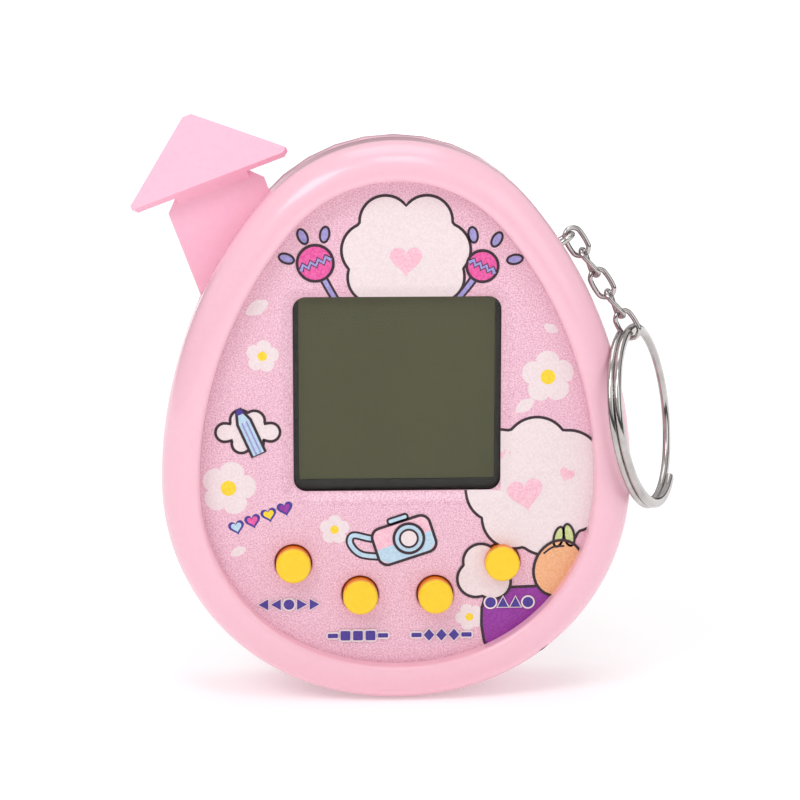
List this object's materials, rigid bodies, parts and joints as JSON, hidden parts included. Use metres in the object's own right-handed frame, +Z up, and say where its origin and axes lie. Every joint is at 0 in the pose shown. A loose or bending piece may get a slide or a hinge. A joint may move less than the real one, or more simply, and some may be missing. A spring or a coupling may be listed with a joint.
{
  "type": "virtual pet keychain",
  "caption": "Egg-shaped pocket game with a recessed screen, round push buttons, a battery pull tab, and a short chain with a split ring.",
  "frame": {"origin": "on the flat back face, level with the middle of the egg's height and width", "axes": "+X to the right as seen from the screen side, +Y from the screen side to the back, +Z up the egg towards its narrow end"},
  "size_m": [0.0594, 0.0192, 0.0623],
  "materials": {
    "pink_plastic": "gloss",
    "printed_film": "satin",
    "clear_plastic": "gloss",
    "black_plastic": "satin",
    "polarizer_film": "satin",
    "glass": "gloss",
    "silver_film": "satin",
    "grey_rubber": "matte",
    "yellow_plastic": "satin",
    "black_rubber": "matte",
    "white_rubber": "matte",
    "green_board": "satin",
    "black_resin": "gloss",
    "ceramic_body": "matte",
    "brass": "satin",
    "wire_cover": "satin",
    "spring_steel": "satin",
    "cell_steel": "satin",
    "screw_steel": "satin",
    "pink_tab": "satin",
    "chrome": "polished"
  },
  "bodies": {
    "case": {"front_shell": "pink_plastic", "face_panel": "printed_film", "screen_window": "clear_plastic", "lcd_frame": "black_plastic", "lcd_polarizer": "polarizer_film", "lcd_front_glass": "glass", "lcd_rear_glass": "glass", "lcd_reflector": "silver_film", "zebra_strip": "grey_rubber", "keypad": "white_rubber", "circuit_board": "green_board", "chip_blob": "black_resin", "crystal": "screw_steel", "resistors": "ceramic_body", "capacitors": "ceramic_body", "board_screws": "screw_steel", "buzzer_plate": "brass", "buzzer_ceramic": "ceramic_body", "buzzer_wires": "wire_cover", "battery_wires": "wire_cover", "rear_shell": "pink_plastic", "left_contact": "spring_steel", "right_contact": "spring_steel", "left_cell": "cell_steel", "right_cell": "cell_steel", "case_screws": "screw_steel", "chain_eyelet": "chrome"},
    "select_key": {"select_button": "yellow_plastic", "select_pill": "black_rubber"},
    "decide_key": {"decide_button": "yellow_plastic", "decide_pill": "black_rubber"},
    "cancel_key": {"cancel_button": "yellow_plastic", "cancel_pill": "black_rubber"},
    "reset_key": {"reset_button": "yellow_plastic", "reset_pill": "black_rubber"},
    "tab": {"pull_tab": "pink_tab"},
    "cover": {"battery_cover": "pink_plastic", "bridge_contact": "spring_steel"},
    "screw": {"cover_screw": "screw_steel"},
    "link_1": {"chain_link_1": "chrome"},
    "link_2": {"chain_link_2": "chrome"},
    "link_3": {"chain_link_3": "chrome"},
    "link_4": {"chain_link_4": "chrome"},
    "link_5": {"chain_link_5": "chrome"},
    "ring": {"split_ring": "chrome"}
  },
  "joints": [
    {"name": "select_press", "type": "slide", "parent": "case", "child": "select_key", "axis": [0, 1, 0], "range_m": [0, 0.0006], "stiffness_N_per_m": 800, "springref_m": -0.0003, "deforming": ["keypad"]},
    {"name": "decide_press", "type": "slide", "parent": "case", "child": "decide_key", "axis": [0, 1, 0], "range_m": [0, 0.0006], "stiffness_N_per_m": 800, "springref_m": -0.0003},
    {"name": "cancel_press", "type": "slide", "parent": "case", "child": "cancel_key", "axis": [0, 1, 0], "range_m": [0, 0.0006], "stiffness_N_per_m": 800, "springref_m": -0.0003},
    {"name": "reset_press", "type": "slide", "parent": "case", "child": "reset_key", "axis": [0, 1, 0], "range_m": [0, 0.0006], "stiffness_N_per_m": 800, "springref_m": -0.0003},
    {"name": "pull_tab_slide", "type": "slide", "parent": "case", "child": "tab", "axis": [-0.3535, 0, 0.9354], "range_m": [0, 0.04]},
    {"name": "cover_slide", "type": "slide", "parent": "case", "child": "cover", "axis": [0, 1, 0], "range_m": [0, 0.012]},
    {"name": "cover_screw_turn", "type": "hinge", "parent": "cover", "child": "screw", "pos_m": [0, 0, -0.0189], "axis": [0, 1, 0], "continuous": true},
    {"name": "link_1_swing", "type": "hinge", "parent": "case", "child": "link_1", "pos_m": [0.0187, -0.01, 0.01973], "axis": [0, 1, 0], "range_deg": [-50, 0]},
    {"name": "link_2_swing", "type": "hinge", "parent": "link_1", "child": "link_2", "pos_m": [0.02006, -0.01, 0.01755], "axis": [0.8499, 0, 0.527], "range_deg": [-35, 0]},
    {"name": "link_3_swing", "type": "hinge", "parent": "link_2", "child": "link_3", "pos_m": [0.02144, -0.01, 0.01532], "axis": [0, 1, 0], "range_deg": [-35, 0]},
    {"name": "link_4_swing", "type": "hinge", "parent": "link_3", "child": "link_4", "pos_m": [0.02282, -0.01, 0.01309], "axis": [0.8499, 0, 0.527], "range_deg": [-35, 0]},
    {"name": "link_5_swing", "type": "hinge", "parent": "link_4", "child": "link_5", "pos_m": [0.0242, -0.01, 0.01087], "axis": [0, 1, 0], "range_deg": [-35, 0]},
    {"name": "ring_swing", "type": "hinge", "parent": "link_5", "child": "ring", "pos_m": [0.02558, -0.01, 0.00864], "axis": [0.8499, 0, 0.527], "range_deg": [0, 10]}
  ]
}
